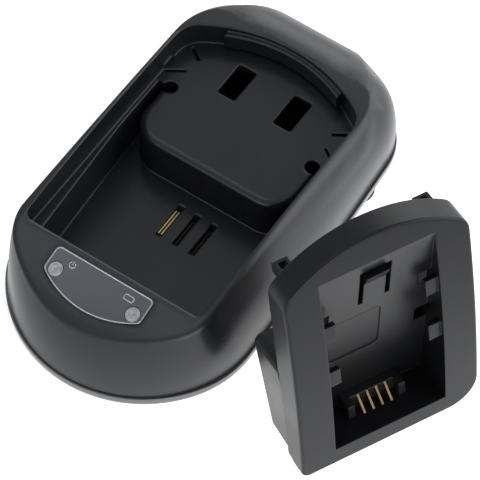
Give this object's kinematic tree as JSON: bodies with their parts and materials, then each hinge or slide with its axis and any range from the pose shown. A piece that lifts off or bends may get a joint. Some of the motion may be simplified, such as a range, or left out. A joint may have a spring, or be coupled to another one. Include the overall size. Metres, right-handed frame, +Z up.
{
  "type": "camera battery charger",
  "caption": "Black egg-shaped camera battery charger with an open stepped bay and indicator panel, and its removable battery plate standing beside it.",
  "frame": {"origin": "middle of the charger base on the table it stands on", "axes": "+Z up, +Y from the indicator nose to the heel, +X towards the side where the plate stands"},
  "size_m": [0.1271, 0.125, 0.0788],
  "materials": {
    "case_plastic": "semi-gloss black moulding",
    "tray_plastic": "semi-gloss black moulding",
    "foot_rubber": "matt",
    "screw_steel": "zinc plated",
    "panel_foil": "satin grey foil with a pale border",
    "lens_plastic": "frosted clear",
    "lamp_plastic": "clear",
    "board_laminate": "solder mask",
    "ferrite": "matt sintered",
    "winding_tape": "yellow tape",
    "can_sleeve": "shrink sleeve",
    "sink_aluminium": "anodised",
    "chip_epoxy": "matt epoxy",
    "inlet_plastic": "matt moulding",
    "contact_brass": "gold flashed",
    "plate_plastic": "satin black moulding",
    "cover_plastic": "satin black moulding"
  },
  "bodies": {
    "root": {"top_shell": "case_plastic", "bottom_shell": "tray_plastic", "rubber_feet": "foot_rubber", "case_screws": "screw_steel", "indicator_panel": "panel_foil", "status_lens": "lens_plastic", "charge_lens": "lens_plastic", "status_led": "lamp_plastic", "charge_led": "lamp_plastic", "main_board": "board_laminate", "transformer_core": "ferrite", "transformer_winding": "winding_tape", "input_capacitor": "can_sleeve", "output_capacitor": "can_sleeve", "heat_sink": "sink_aluminium", "switching_transistor": "chip_epoxy", "controller_chip": "chip_epoxy", "power_inlet": "inlet_plastic", "contact_carrier": "inlet_plastic", "contact_spring_1": "contact_brass", "contact_spring_2": "contact_brass", "contact_spring_3": "contact_brass", "plate_front": "plate_plastic", "plate_rear_cover": "cover_plastic", "plate_contact_block": "inlet_plastic", "plate_contacts": "contact_brass", "plate_board": "board_laminate", "plate_screws": "screw_steel", "plate_blade_1": "contact_brass", "plate_blade_2": "contact_brass", "plate_blade_3": "contact_brass"}
  },
  "joints": []
}
